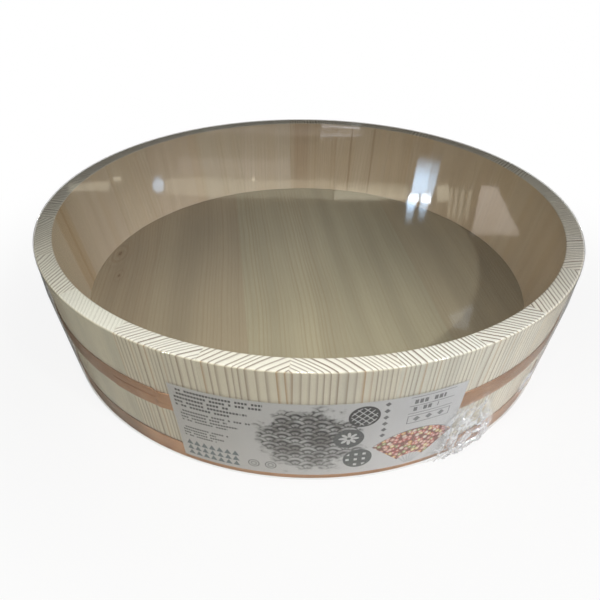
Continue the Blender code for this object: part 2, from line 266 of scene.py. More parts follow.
# Lamps: name, place, target, watts, colour, width of the cone in degrees, soft size
LAMPS = (
    ("key", (0.95, -1.10, 1.45), (0.04, -0.18, 0.06), 60.0, (0.94, 0.98, 1.0), 24, 0.045),
    ("top", (-0.06, -0.50, 1.55), (-0.02, -0.20, 0.08), 45.5, (1.0, 0.96, 0.88), 21, 0.06),
    ("near_edge", (-0.05, -0.34, 1.60), (-0.02, -0.19, 0.08), 20.5, (0.88, 0.96, 1.0), 14, 0.05),
    ("front", (-0.20, -1.60, 1.10), (0.0, -0.20, 0.06), 3.5, (1.0, 0.94, 0.86), 24, 0.12),
    ("right", (1.25, -1.15, 0.62), (0.165, -0.135, 0.06), 82.0, (0.873, 0.905, 1.0), 15, 0.09),
    ("left", (-1.25, -1.15, 0.62), (-0.125, -0.155, 0.15), 47.0, (1.0, 0.98, 0.92), 15, 0.09),
    ("floor_middle", (0.03, -0.45, 1.50), (0.02, -0.12, 0.04), 14.6, (1.0, 0.96, 0.86), 10, 0.05),
    ("behind_left", (-1.15, 1.25, 0.26), (0.0, 0.10, 0.05), 26.0, (1.0, 0.98, 0.94), 18, 0.12),
    ("behind_right", (1.15, 1.25, 0.26), (0.0, 0.10, 0.05), 26.0, (1.0, 0.98, 0.94), 18, 0.12),
    ("back_wall", (0.0, -1.30, 1.00), (0.0, 0.19, 0.075), 6.4, (1.0, 0.98, 0.94), 15, 0.08),
)
FLOOR_GLOW = 0.90
FLOOR_REACH = 4.0
ROOM_REACH = 2.4

CAMERA_PLACE = (0.0, -0.4483, 0.3096)
CAMERA_YAW_DEG = -0.758
CAMERA_PITCH_DEG = 34.409
CAMERA_ROLL_DEG = 0.713
CAMERA_FOCAL_PX = 599.6
IMAGE_PX = 600
SENSOR_MM = 36.0


# Numbers and points


def outside_radius(z):
    """Radius of the staves' outer face at a height."""
    return FOOT_RADIUS + (RIM_RADIUS - FOOT_RADIUS) * z / HEIGHT


FLOOR_RADIUS = outside_radius(FLOOR_HEIGHT) - FLOOR_LEVEL_THICKNESS
GROOVE_RADIUS = FLOOR_RADIUS + GROOVE_DEPTH


def inside_radius(z):
    """Radius of the staves' inner face at a height."""
    if z >= FLOOR_HEIGHT:
        share = (z - FLOOR_HEIGHT) / (HEIGHT - FLOOR_HEIGHT)
        return FLOOR_RADIUS + (RIM_RADIUS - RIM_THICKNESS - FLOOR_RADIUS) * share
    foot_inside = FOOT_RADIUS - FOOT_THICKNESS
    return foot_inside + (FLOOR_RADIUS - foot_inside) * z / FLOOR_HEIGHT


def polar(radius, angle, z):
    return Vector((radius * math.cos(angle), radius * math.sin(angle), z))


def heading(azimuth_deg, height_deg):
    """Direction at an azimuth from +Y towards +X, and at a height over the horizon."""
    a, h = math.radians(azimuth_deg), math.radians(height_deg)
    return Vector((math.sin(a) * math.cos(h), math.cos(a) * math.cos(h), math.sin(h)))


def smoothstep(share):
    share = min(max(share, 0.0), 1.0)
    return share * share * (3 - 2 * share)


def blend_value(a, b, share):
    return a + (b - a) * share


def wave(x, y, scale, seed):
    """Smooth noise between about -1 and 1."""
    return noise.noise(Vector((x * scale, y * scale, seed)))


# Shader building


class Wire:
    """A node's output, which adds, subtracts, multiplies and divides as a number does."""

    def __init__(self, nodes, socket):
        self.nodes = nodes
        self.socket = socket

    def other(self, output):
        """Another output of the same node."""
        return Wire(self.nodes, self.socket.node.outputs[output])

    def __add__(self, value):
        return self.nodes.math("ADD", self, value)

    def __radd__(self, value):
        return self.nodes.math("ADD", value, self)

    def __sub__(self, value):
        return self.nodes.math("SUBTRACT", self, value)

    def __rsub__(self, value):
        return self.nodes.math("SUBTRACT", value, self)

    def __mul__(self, value):
        return self.nodes.math("MULTIPLY", self, value)

    def __truediv__(self, value):
        return self.nodes.math("DIVIDE", self, value)


class Nodes:
    """The node tree of a material or world, with short calls for the nodes used here."""

    def __init__(self, owner, output):
        owner.use_nodes = True
        self.owner = owner
        self.tree = owner.node_tree
        self.tree.nodes.clear()
        self.output = self.tree.nodes.new(output)

    def finish(self, shader):
        """Links the finished shader, and gives the material or world."""
        self.tree.links.new(shader.socket, self.output.inputs["Surface"])
        return self.owner

    def feed(self, socket, value):
        """Gives a socket a link, or a fixed number, vector or colour."""
        if isinstance(value, Wire):
            self.tree.links.new(value.socket, socket)
        elif socket.type == "RGBA":
            socket.default_value = (*value, 1.0)
        else:
            socket.default_value = value

    def wire(self, kind, inputs, output=0, **settings):
        """Adds a node, feeds its inputs by name or number, and gives one of its outputs."""
        node = self.tree.nodes.new(kind)
        for name, value in settings.items():
            setattr(node, name, value)
        for key, value in inputs.items():
            self.feed(node.inputs[key], value)
        return Wire(self, node.outputs[output])

    def math(self, operation, *values):
        return self.wire("ShaderNodeMath", dict(enumerate(values)), operation=operation)

    def combine(self, x, y, z=0.0):
        return self.wire("ShaderNodeCombineXYZ", {0: x, 1: y, 2: z})

    def separate(self, vector):
        x = self.wire("ShaderNodeSeparateXYZ", {0: vector})
        return x, x.other(1), x.other(2)

    def length(self, x, y, z=0.0):
        """Length of the vector with these parts."""
        vector = {0: self.combine(x, y, z)}
        return self.wire("ShaderNodeVectorMath", vector, 1, operation="LENGTH")

    def range(self, value, low, high, to_low, to_high, way="LINEAR"):
        numbers = dict(enumerate((value, low, high, to_low, to_high)))
        return self.wire("ShaderNodeMapRange", numbers, interpolation_type=way)

    def step(self, value, low, high):
        """A smooth rise from 0 at low to 1 at high."""
        return self.range(value, low, high, 0.0, 1.0, "SMOOTHSTEP")

    def fall(self, value, low, high):
        """A smooth fall from 1 at low to 0 at high."""
        return 1.0 - self.step(value, low, high)

    def blend(self, share, at_none, at_full):
        """A number between two, by a share from 0 to 1."""
        return self.range(share, 0.0, 1.0, at_none, at_full)

    def spread(self, noise_value, to_low, to_high):
        """Noise, which mostly lies between 0.3 and 0.7, stretched to a range of its own."""
        return self.range(noise_value, 0.3, 0.7, to_low, to_high)

    def mix(self, share, a, b, way="MIX"):
        colours = {0: share, 6: a, 7: b}
        return self.wire("ShaderNodeMix", colours, 2, data_type="RGBA", blend_type=way)

    def mix_shaders(self, share, a, b):
        return self.wire("ShaderNodeMixShader", {0: share, 1: a, 2: b})

    def noise(self, place, scale, detail=2.0, roughness=0.5):
        inputs = {"Vector": place, "Scale": scale, "Detail": detail, "Roughness": roughness}
        return self.wire("ShaderNodeTexNoise", inputs, "Fac")

    def line_noise(self, place, scale, detail):
        """Noise along a line."""
        inputs = {"W": place, "Scale": scale, "Detail": detail}
        return self.wire("ShaderNodeTexNoise", inputs, "Fac", noise_dimensions="1D")

    def random(self, number):
        kind = "ShaderNodeTexWhiteNoise"
        return self.wire(kind, {"W": number}, "Value", noise_dimensions="1D")

    def pebbles(self, place, scale):
        """Rounded cells: the distance from the nearest middle, and a random number for each."""
        inputs = {"Vector": place, "Scale": scale}
        middle = self.wire("ShaderNodeTexVoronoi", inputs, "Distance", voronoi_dimensions="2D")
        return middle, self.separate(middle.other("Color"))[0]

    def palette(self, value, colours):
        """One of several colours, in equal shares of a value from 0 to 1."""
        chosen = self.wire("ShaderNodeValToRGB", {0: value})
        ramp = chosen.socket.node.color_ramp
        ramp.interpolation = "CONSTANT"
        ramp.elements.remove(ramp.elements[1])
        ramp.elements[0].color = (*colours[0], 1.0)
        for k, colour in enumerate(colours[1:], 1):
            ramp.elements.new(k / len(colours)).color = (*colour, 1.0)
        return chosen

    def attribute(self, name, output="Vector"):
        return self.wire("ShaderNodeAttribute", {}, output, attribute_name=name)

    def coordinates(self, output="Object"):
        return self.wire("ShaderNodeTexCoord", {}, output)

    def ray(self, kind):
        """1 for rays of a kind, such as Is Camera Ray."""
        return self.wire("ShaderNodeLightPath", {}, kind)

    def bump(self, height, distance, strength=1.0, normal=None):
        inputs = {"Strength": strength, "Distance": distance, "Height": height}
        if normal is not None:
            inputs["Normal"] = normal
        return self.wire("ShaderNodeBump", inputs)

    def principled(self, **inputs):
        named = {name.replace("_", " "): value for name, value in inputs.items()}
        return self.wire("ShaderNodeBsdfPrincipled", named)


def new_material(name):
    return Nodes(bpy.data.materials.new(name), "ShaderNodeOutputMaterial")


# Wood


def growth_rings(s, distance, spacing, seed):
    """Dark share of the latewood at a distance from the pith, and the number of its ring."""
    uneven = s.line_noise(distance + seed, 60.0, 1.0)
    rings = distance / spacing + uneven * 2.0
    number = s.math("FLOOR", rings)
    across = s.math("FRACT", rings)
    rise = s.math("POWER", s.step(across, 0.38, 0.92), 1.7)
    return rise * s.fall(across, 0.93, 1.0), number


def inner_wall_colour(s, x, y, band):
    """Warm wood of the inner wall, in upright bands, with a few stronger marks."""
    colour = s.mix(s.step(band, 0.35, 0.70), INNER_PALE, INNER_BAND)
    direction = s.wire("ShaderNodeVectorMath", {0: s.combine(x, y)}, operation="NORMALIZE")
    across, ahead, _ = s.separate(direction)
    broad = s.noise(s.combine(across, ahead), 9.0)
    colour = s.mix(s.step(broad, 0.45, 0.70) * 0.55, colour, INNER_WARM)
    for direction_deg, half_width, strength, tone in INNER_MARKS:
        turn = math.radians(direction_deg)
        aligned = across * math.cos(turn) + ahead * math.sin(turn)
        edge = math.cos(math.radians(half_width * 1.25))
        full = math.cos(math.radians(half_width * 0.60))
        colour = s.mix(s.step(aligned, edge, full) * strength, colour, tone)
    return colour


def stave_faces(s, x, y, z):
    """1 on a stave's end grain, and 1 on its inner face."""
    upright = s.separate(s.coordinates("Normal"))[2]
    end_grain = s.step(s.math("ABSOLUTE", upright), 0.55, 0.85)
    low, high = (radius + z * WALL_SLOPE for radius in INNER_HALF)
    inner = s.fall(s.length(x, y), low, high) * (1.0 - end_grain)
    return end_grain, inner


def stave_distance(s, x, y, z, seed):
    """Distance from the stave's own pith, with the slight wander of grown wood."""
    pith_x, pith_y, _ = s.separate(s.attribute("pith"))
    wander = s.noise(s.combine(x + seed, y, z * 0.10), 26.0) - 0.5
    return s.length(x - pith_x, y - pith_y) + wander * 0.0030


def stave_late_share(s, late, contrast, end_grain, inner):
    """How dark the rings are: by the stave's contrast, all dark on the rim, faint inside."""
    on_wall = s.math("MINIMUM", contrast, 1.0) * 0.85
    on_rim = (contrast * 0.25 + 0.75) * s.range(contrast, 0.0, 0.45, 0.0, 1.0)
    strength = s.blend(end_grain, on_wall, on_rim)
    return late * (strength * s.blend(inner, 1.0, 0.26))


def stave_material():
    """Softwood cut from the log: rings round each stave's own pith, seen on all its faces."""
    s = new_material("stave_wood")
    x, y, z = s.separate(s.coordinates())
    end_grain, inner = stave_faces(s, x, y, z)
    lean_x, lean_y, _ = s.separate(s.attribute("lean"))
    spacing, contrast, seed = s.separate(s.attribute("grain"))
    # The place, slid along the leaning grain to the level of the rim
    depth = HEIGHT - z
    grain_x = x + lean_x * depth
    grain_y = y + lean_y * depth
    distance = stave_distance(s, grain_x, grain_y, z, seed)
    late, number = growth_rings(s, distance, spacing, seed)
    late = late * s.blend(s.random(number + seed * 7.0), 0.62, 1.0)
    late = stave_late_share(s, late, contrast, end_grain, inner)

    band = s.noise(s.combine(distance * 40.0, z * 2.0, seed), 2.2)
    early = s.mix(s.step(band, 0.35, 0.68), WOOD_PALE, WOOD_GREY)
    early = s.mix(s.step(band, 0.60, 0.75) * 0.4, early, WOOD_STAIN)
    early = s.mix(inner, early, inner_wall_colour(s, x, y, band))
    early = s.mix(end_grain, early, WOOD_CUT)
    warm = s.step(s.random(number + 31.7), 0.72, 0.80)
    dark = s.mix(end_grain, s.mix(warm, RING_BROWN, RING_WARM), RING_CUT)
    colour = s.mix(late, early, dark)

    fibre = s.noise(s.combine(grain_x, grain_y, z * 0.03), 1700.0, 3.0, 0.6)
    coarse = s.blend(end_grain, 1.0, 0.10) * s.blend(inner, 1.0, 0.15)
    strand = (1.0 - end_grain) * coarse * s.spread(fibre, 0.0, 0.14)
    colour = s.mix(strand, colour, WOOD_FIBRE)
    colour = s.mix(1.0, colour, s.attribute("tone", "Color"), "MULTIPLY")
    return s.finish(s.principled(
        Base_Color=colour,
        Roughness=s.spread(fibre, 0.52, 0.68),
        Specular_IOR_Level=0.35,
        Normal=s.bump(late * 0.5 + fibre * coarse * 0.35, 0.00012),
    ))


def knot(s, colour, x, y, size, tone):
    """Rings drawn out along the grain round a small knot."""
    place_x, place_y, _ = s.separate(s.coordinates())
    away = s.length(place_x - x, (place_y - y) * 0.42)
    line = s.step(s.math("PINGPONG", away, size * 0.16), size * 0.05, size * 0.13)
    near = s.fall(away, size * 0.55, size)
    colour = s.mix(line * near * 0.45, colour, tone)
    return s.mix(s.fall(away, size * 0.08, size * 0.16), colour, KNOT_HEART)


def board_material(number, pith_across, pith_below, spacing, early_tone, late_tone, contrast):
    """Planed softwood board, its rings round a pith that runs along the board."""
    s = new_material(f"board_wood_{number}")
    turn = (0.0, 0.0, -math.radians(BOARD_TURN_DEG))
    turned = s.wire("ShaderNodeMapping", {"Vector": s.coordinates(), "Rotation": turn})
    across, along, up = s.separate(turned)
    seed = BOARD_SEED * number
    slow = s.noise(s.combine(seed, along), 5.0, 1.0) - 0.5
    local = s.noise(s.combine(across + seed, along * 0.08, up), 30.0) - 0.5
    away = across - pith_across - slow * 0.012
    distance = s.length(away, up - pith_below) + local * 0.004
    late, ring = growth_rings(s, distance, spacing, seed)
    late = late * s.blend(s.random(ring + seed), 0.25 * contrast, contrast)
    broad = s.noise(s.combine(distance * 22.0, along * 0.7, seed), 2.0)
    fibre = s.noise(s.combine(across, along * 0.02, up), 1500.0, 3.0, 0.6)
    shaded_tone = tuple(0.82 * c for c in early_tone)
    early = s.mix(s.step(broad, 0.32, 0.70), early_tone, shaded_tone)
    colour = s.mix(late, early, late_tone)
    colour = s.mix(s.spread(fibre, 0.0, 0.16), colour, late_tone)
    for x, y, size in KNOTS.get(number, ()):
        colour = knot(s, colour, x, y, size, late_tone)
    return s.finish(s.principled(
        Base_Color=colour,
        Roughness=s.spread(fibre, 0.46, 0.62),
        Specular_IOR_Level=0.4,
        Normal=s.bump(late * 0.5 + fibre * 0.35, 0.0001),
    ))


def bamboo_material():
    """Split bamboo of the pegs, streaked along its fibres."""
    s = new_material("bamboo")
    x, y, z = s.separate(s.coordinates())
    streak = s.noise(s.combine(x * 0.25, y * 0.25, z), 2600.0)
    patch = s.noise(s.coordinates(), 90.0)
    colour = s.mix(s.step(streak, 0.35, 0.65), BAMBOO_PALE, BAMBOO_DARK)
    return s.finish(s.principled(
        Base_Color=s.mix(patch * 0.4, colour, BAMBOO_PATCH),
        Roughness=s.spread(streak, 0.40, 0.62),
        Normal=s.bump(streak, 0.0001),
    ))


# Copper


def copper_material():
    """Rolled copper strip with a satin sheen, streaked along its length."""
    s = new_material("copper")
    along, across, _ = s.separate(s.coordinates("UV"))
    streak = s.noise(s.combine(along * 1.2, across * 140.0), 9.0, 3.0, 0.6)
    cloud = s.noise(s.combine(along, across), 38.0, 3.0, 0.55)
    blotch = s.noise(s.combine(along * 0.6, across, 0.5), 90.0)
    colour = s.mix(s.step(cloud, 0.35, 0.68), COPPER_BRIGHT, COPPER_DULL)
    colour = s.mix(s.step(blotch, 0.58, 0.75) * 0.35, colour, COPPER_BLOTCH)
    # A patch of painted shade: darker copper low on the lower hoop's left, where it meets the floor
    from_patch = [a - b for a, b in zip(s.separate(s.coordinates()), PAINTED_SHADE_PLACE)]
    painted_shade = s.fall(s.length(*from_patch), 0.020, 0.045)
    colour = s.mix(painted_shade * 0.55, colour, COPPER_PAINTED_SHADE)
    half = HOOP_WIDTH / 2
    # Darker along both long edges of the strip
    edge_band = s.step(s.math("ABSOLUTE", across - half), half - 0.0009, half - 0.0001)
    return s.finish(s.principled(
        Base_Color=s.mix(edge_band * 0.35, colour, COPPER_EDGE),
        Metallic=1.0,
        Roughness=s.spread(streak, 0.30, 0.44) + cloud * 0.10,
        Normal=s.bump(streak + cloud * 2.0, 0.00008, 0.6),
    ))


# Paper label


class Print:
    """Plain shapes printed on the label, in metres from its lower left corner."""

    def __init__(self, s, u, v, paper):
        self.s = s
        self.u = u
        self.v = v
        self.colour = paper

    def ink(self, mask, colour, share=1.0):
        """Prints a colour, which covers only in part where its share is below 1."""
        if share != 1.0:
            mask = mask * share
        self.colour = self.s.mix(mask, self.colour, colour)

    def reach(self, across, up):
        """Length of a step across and up the label."""
        return self.s.math("SQRT", across * across + up * up)

    def away(self, x, y):
        """Distance from a point."""
        return self.reach(self.u - x, self.v - y)

    def cell(self, value, size, shift=0.0):
        """Coordinate within a repeated cell, from 0 to size."""
        return self.s.math("FRACT", value / size + shift) * size

    def within(self, value, limit):
        return self.s.fall(value, limit - PRINT_EDGE, limit + PRINT_EDGE)

    def between(self, value, low, high):
        rise = self.s.step(value, low - PRINT_EDGE, low + PRINT_EDGE)
        return rise - self.s.step(value, high - PRINT_EDGE, high + PRINT_EDGE)

    def box(self, left, right, low, high):
        return self.between(self.u, left, right) * self.between(self.v, low, high)

    def outline(self, left, right, low, high, line):
        inner = self.box(left + line, right - line, low + line, high - line)
        return self.box(left, right, low, high) - inner

    def disc(self, x, y, radius):
        return self.within(self.away(x, y), radius)

    def ring(self, x, y, radius, line):
        return self.between(self.away(x, y), radius - line, radius)


def wave_lines(p):
    """Rings of wave scales, each row over the one above it."""
    s = p.s
    size = WAVE_SIZE
    rise = size * 0.25
    rows = s.math("FLOOR", p.v / rise)
    lines = None
    for lift in (0.0, 1.0):
        row = rows - lift
        away = p.reach(p.cell(p.u, size, row * 0.5) - size / 2, p.v - row * rise)
        bands = s.math("PINGPONG", size / 2 - away, size * 0.125)
        inside = s.fall(away, size * 0.48, size * 0.50)
        scale = s.fall(bands, size * 0.050, size * 0.066) * inside
        lines = scale if lines is None else lines * (1.0 - inside) + scale
    return lines


def print_waves(p, x, y, half_width, half_height):
    """A cloud of overlapping wave scales in thin ink, patchy and paler downwards."""
    s = p.s
    wash = s.noise(s.combine(p.u, p.v), 95.0, 4.0, 0.6)
    away = p.reach((p.u - x) / half_width, (p.v - y) / half_height)
    cloud = s.fall(away + (wash - 0.5) * 1.3, 0.72, 0.98)
    height = s.range(p.v, 0.006, 0.040, 0.62, 1.0)
    dark = s.range(wash, 0.28, 0.44, 0.60, 1.0) * cloud * height
    p.ink(cloud * height * s.range(wash, 0.38, 0.56, 0.25, 0.90), WASH_INK)
    p.ink(wave_lines(p) * dark, LINE_INK)


def lattice(p, x, y):
    """Crossed slanting lines."""
    size = ROUNDEL_RADIUS * 0.52
    slants = (p.between(p.cell(way, size), 0.0, size * 0.16) for way in (p.u + p.v, p.u - p.v))
    return p.s.math("MAXIMUM", *slants)


def rosette(p, x, y):
    """Eight petals round a small eye."""
    s = p.s
    angle = s.math("ARCTAN2", p.v - y, p.u - x)
    petal = s.math("ABSOLUTE", s.math("COSINE", angle * 4.0))
    reach = (petal * 0.45 + 0.22) * ROUNDEL_RADIUS
    figure = s.step(reach - p.away(x, y), -0.0001, 0.0001)
    return figure * s.step(p.away(x, y), ROUNDEL_RADIUS * 0.12, ROUNDEL_RADIUS * 0.15)


def squares(p, x, y):
    """Rows of small squares."""
    size = ROUNDEL_RADIUS * 0.56
    across, up = (p.s.step(p.cell(way, size), size * 0.58, size * 0.62) for way in (p.u, p.v))
    return across * up


def print_roundel(p, x, y, ink, figure):
    """A dark disc with a plain geometric figure left pale."""
    p.ink(p.disc(x, y, ROUNDEL_RADIUS), ink)
    inside = p.disc(x, y, ROUNDEL_RADIUS * 0.84)
    p.ink(figure(p, x, y) * inside, FIGURE_GREY)


def print_fan(p):
    """An open fan, its leaf scattered with petals in reds, yellows and greens, on pale ribs."""
    s = p.s
    away = p.away(FAN_X, FAN_Y)
    angle = s.math("ARCTAN2", p.u - FAN_X, p.v - FAN_Y)
    opened = s.fall(s.math("ABSOLUTE", angle), FAN_SPREAD - 0.01, FAN_SPREAD + 0.01)
    leaf = opened * p.between(away, FAN_INNER, FAN_OUTER)
    middle, chance = s.pebbles(s.combine(p.u, p.v), 330.0)
    petals = s.palette(chance, PETALS)
    p.ink(leaf, s.mix(s.step(middle, 0.38, 0.58), petals, PETAL_EDGE))
    p.ink(leaf * s.fall(middle, 0.14, 0.22), PETAL_EYE, 0.8)
    folds = s.math("PINGPONG", angle, FAN_SPREAD / FAN_FOLDS)
    crease = s.fall(folds * away, 0.0, 0.0004)
    p.ink(leaf * crease, FAN_CREASE, 0.6)
    p.ink(opened * p.between(away, 0.0030, FAN_INNER) * crease, BLUE_GREY, 0.7)
    p.ink(opened * p.between(away, FAN_OUTER, FAN_OUTER + 0.0005), BLUE_GREY, 0.8)


def print_dots(p, left, right, low, high, rows, cell, share):
    """Rows of small square dots with gaps, where the real label has small print."""
    s = p.s
    pitch = (high - low) / rows
    up = p.v - low
    along = p.u - left
    row = s.math("FLOOR", up / pitch)
    column = s.math("FLOOR", along / cell)
    filled = s.step(s.random(column + row * 53.7), 0.14, 0.18)
    dot = p.between(p.cell(up, pitch), pitch * 0.22, pitch * 0.78)
    dot = dot * p.between(p.cell(along, cell), cell * 0.10, cell * 0.84)
    end = s.blend(s.random(row + 11.3), blend_value(left, right, 0.60), right)
    block = s.fall(p.u, end, end + 0.0002) * p.box(left, right, low, high)
    p.ink(dot * filled * block, INK, share)


def print_teeth(p, left, right, low, high, rows):
    """Rows of dark triangles."""
    size = (high - low) / rows
    tooth = p.s.math("ABSOLUTE", p.cell(p.u - left, size) - size / 2) * 2.0
    edge = p.cell(p.v - low, size) + tooth - size * 0.90
    teeth = p.s.fall(edge, -0.0001, 0.0001)
    p.ink(teeth * p.box(left, right, low, high), BLUE_GREY, 0.95)


def print_diamond(p, x, y, size, share):
    away = p.s.math("ABSOLUTE", p.u - x) + p.s.math("ABSOLUTE", p.v - y)
    p.ink(p.within(away, size), INK, share)


def print_panels(p):
    """The plain ornament round the label's edges: dots, triangles, rings, rules and diamonds."""
    print_dots(p, 0.0030, 0.0580, 0.0505, 0.0672, 5, 0.0019, 1.0)
    print_dots(p, 0.0050, 0.0500, 0.0370, 0.0490, 4, 0.0017, 0.90)
    print_dots(p, 0.0040, 0.0370, 0.0215, 0.0325, 4, 0.0016, 0.90)
    print_teeth(p, 0.0034, 0.0394, 0.0030, 0.0186, 3)
    for x in (0.0487, 0.0595):
        p.ink(p.ring(x, 0.0085, 0.0037, 0.0007), INK, 0.8)
        p.ink(p.ring(x, 0.0085, 0.0021, 0.0009), INK, 0.6)
    for k in range(6):
        print_diamond(p, 0.1268, 0.0360 + 0.0058 * k, 0.0019, 0.85)
    for y in (0.0668, 0.0592, 0.0524):
        p.ink(p.box(0.1400, 0.1690, y, y + 0.0005), INK, 0.75)
    print_dots(p, 0.1425, 0.1675, 0.0533, 0.0661, 2, 0.0031, 0.80)
    p.ink(p.outline(0.1405, 0.1685, 0.0432, 0.0505, 0.0005), INK, 0.8)
    for k in range(3):
        print_diamond(p, 0.1465 + 0.0080 * k, 0.0469, 0.0024, 0.7)


def label_material():
    """Coated paper, cool white, with generic ornament in place of the real print."""
    s = new_material("paper")
    u, v, _ = s.separate(s.coordinates("UV"))
    cloud = s.noise(s.combine(u, v), 60.0, 3.0)
    p = Print(s, u, v, s.mix(cloud, PAPER_PALE, PAPER_GREY))
    print_panels(p)
    print_waves(p, 0.0830, 0.0350, 0.0345, 0.0330)
    print_fan(p)
    print_roundel(p, 0.1140, 0.0565, (0.02, 0.02, 0.022), lattice)
    print_roundel(p, 0.1065, 0.0365, (0.09, 0.095, 0.10), rosette)
    print_roundel(p, 0.1135, 0.0155, (0.10, 0.11, 0.11), squares)
    fibre = s.noise(s.combine(u, v), 2500.0)
    return s.finish(s.principled(
        Base_Color=p.colour,
        Roughness=s.spread(fibre, 0.42, 0.55),
        Specular_IOR_Level=0.45,
        Normal=s.bump(fibre + cloud * 3.0, 0.00005),
    ))


# Shrink film


def film_material(name, mirror_share):
    """Clear film: it shows what is behind it, mirrors more at a slant, and whitens at creases."""
    s = new_material(name)
    facing = s.wire("ShaderNodeLayerWeight", {"Blend": 0.5}, "Facing")
    crease = s.attribute("crease", "Fac")
    mirror = s.math("POWER", facing, 5.0) * mirror_share + 0.035 + crease * 0.16
    place = s.coordinates()
    fine = s.noise(place, 240.0)
    normal = s.bump(s.noise(place, 28.0) + fine * 0.01, 0.0004, 0.15)
    crushed = s.noise(place, 420.0, 3.0, 0.6) * crease
    normal = s.bump(crushed, 0.0016, 1.0, normal)
    shine = {"Color": WHITE, "Roughness": s.spread(fine, 0.035, 0.055), "Normal": normal}
    clear = s.wire("ShaderNodeBsdfTransparent", {"Color": FILM_CLEAR})
    gloss = s.wire("ShaderNodeBsdfGlossy", shine)
    haze = s.wire("ShaderNodeBsdfDiffuse", {"Color": FILM_HAZE, "Normal": normal})
    base = s.mix_shaders(mirror, clear, gloss)
    return s.finish(s.mix_shaders(0.015 + crease * 0.50, base, haze))


# Pieces


def finish_mesh(name, bm, material, sharp_deg=32.0, smooth=True):
    """Makes a bmesh into an object of the scene."""
    mesh = bpy.data.meshes.new(name)
    bm.to_mesh(mesh)
    bm.free()
    made = bpy.data.objects.new(name, mesh)
    bpy.context.scene.collection.objects.link(made)
    mesh.materials.append(material)
    if smooth:
        mesh.shade_smooth()
        mesh.set_sharp_from_angle(angle=math.radians(sharp_deg))
    return made


def stand_for(piece, node, body):
    """Puts a finished piece in the place of its CAD node."""
    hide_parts(node)
    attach(piece, body)


def bridge(bm, loops):
    """Faces from each closed loop of vertices to the next."""
    for first, second in zip(loops, loops[1:]):
        for k in range(len(first)):
            after = (k + 1) % len(first)
            bm.faces.new((first[k], first[after], second[after], second[k]))


def add_laid_face(bm, uv, corners):
    """A face through (vertex, u, v) corners, which keeps its place on the flat strip or sheet."""
    face = bm.faces.new([corner[0] for corner in corners])
    for loop, corner in zip(face.loops, corners):
        loop[uv].uv = corner[1:]


# Staves


def rounded_corner(corner, before, after, radius, steps=4):
    """Points of a round that takes a corner's place, between two neighbours."""
    to_before = (before - corner).normalized()
    to_after = (after - corner).normalized()
    half = to_before.angle(to_after) / 2
    cut = radius / math.tan(half)
    start = corner + to_before * cut
    end = corner + to_after * cut
    centre = corner + (to_before + to_after).normalized() * (radius / math.sin(half))
    points = []
    for k in range(steps + 1):
        arm = (start - centre).lerp(end - centre, k / steps).normalized() * radius
        points.append(centre + arm)
    return points


def stave_section():
    """Section of a stave in (radius, height): rounded rim and foot, and the floor's groove."""
    groove_top = FLOOR_HEIGHT + SEAT_GAP
    groove_bottom = FLOOR_HEIGHT - BOARD_THICKNESS - SEAT_GAP
    corners = (
        (FOOT_RADIUS, 0.0, FOOT_ROUND),
        (RIM_RADIUS, HEIGHT, RIM_ROUND),
        (RIM_RADIUS - RIM_THICKNESS, HEIGHT, RIM_ROUND),
        (inside_radius(groove_top), groove_top, GROOVE_ROUND),
        (GROOVE_RADIUS, groove_top, 0.0),
        (GROOVE_RADIUS, groove_bottom, 0.0),
        (inside_radius(groove_bottom), groove_bottom, GROOVE_ROUND),
        (inside_radius(0.0), 0.0, FOOT_ROUND),
    )
    points = [Vector(corner[:2]) for corner in corners]
    section = []
    for k, (point, corner) in enumerate(zip(points, corners)):
        after = points[(k + 1) % len(points)]
        rounding = corner[2]
        if rounding:
            section += rounded_corner(point, points[k - 1], after, rounding)
        else:
            section.append(point)
    return section


def inset_section(section, amount):
    """The same section drawn in all round, for the bevel at a stave's joint faces."""
    drawn = []
    for k, point in enumerate(section):
        back = (point - section[k - 1]).normalized()
        ahead = (section[(k + 1) % len(section)] - point).normalized()
        inward = Vector((-back.y - ahead.y, back.x + ahead.x))
        drawn.append(point + inward.normalized() * amount)
    return drawn


def make_stave(name, start, angle, section, inner, material):
    """One stave, its section swept round with a fine bevel at both joint faces."""
    gap = JOINT_GAP / RIM_RADIUS / 2
    bevel = STAVE_BEVEL / RIM_RADIUS
    low, high = start + gap, start + angle - gap
    facets = max(4, round(angle / STAVE_FACET))
    stations = [(low, inner), (low + bevel, section)]
    for k in range(1, facets):
        stations.append((low + (high - low) * k / facets, section))
    stations += [(high - bevel, section), (high, inner)]
    bm = bmesh.new()
    loops = [[bm.verts.new(polar(p.x, a, p.y)) for p in outline] for a, outline in stations]
    bridge(bm, loops)
    bm.faces.new(list(reversed(loops[0])))
    bm.faces.new(loops[-1])
    bmesh.ops.recalc_face_normals(bm, faces=bm.faces)
    return finish_mesh(name, bm, material)


def add_attribute(made, name, kind, value):
    """One value over the whole mesh, for the material to read."""
    layer = made.data.attributes.new(name, kind, "POINT")
    field = "color" if "COLOR" in kind else "vector"
    layer.data.foreach_set(field, list(value) * len(made.data.vertices))


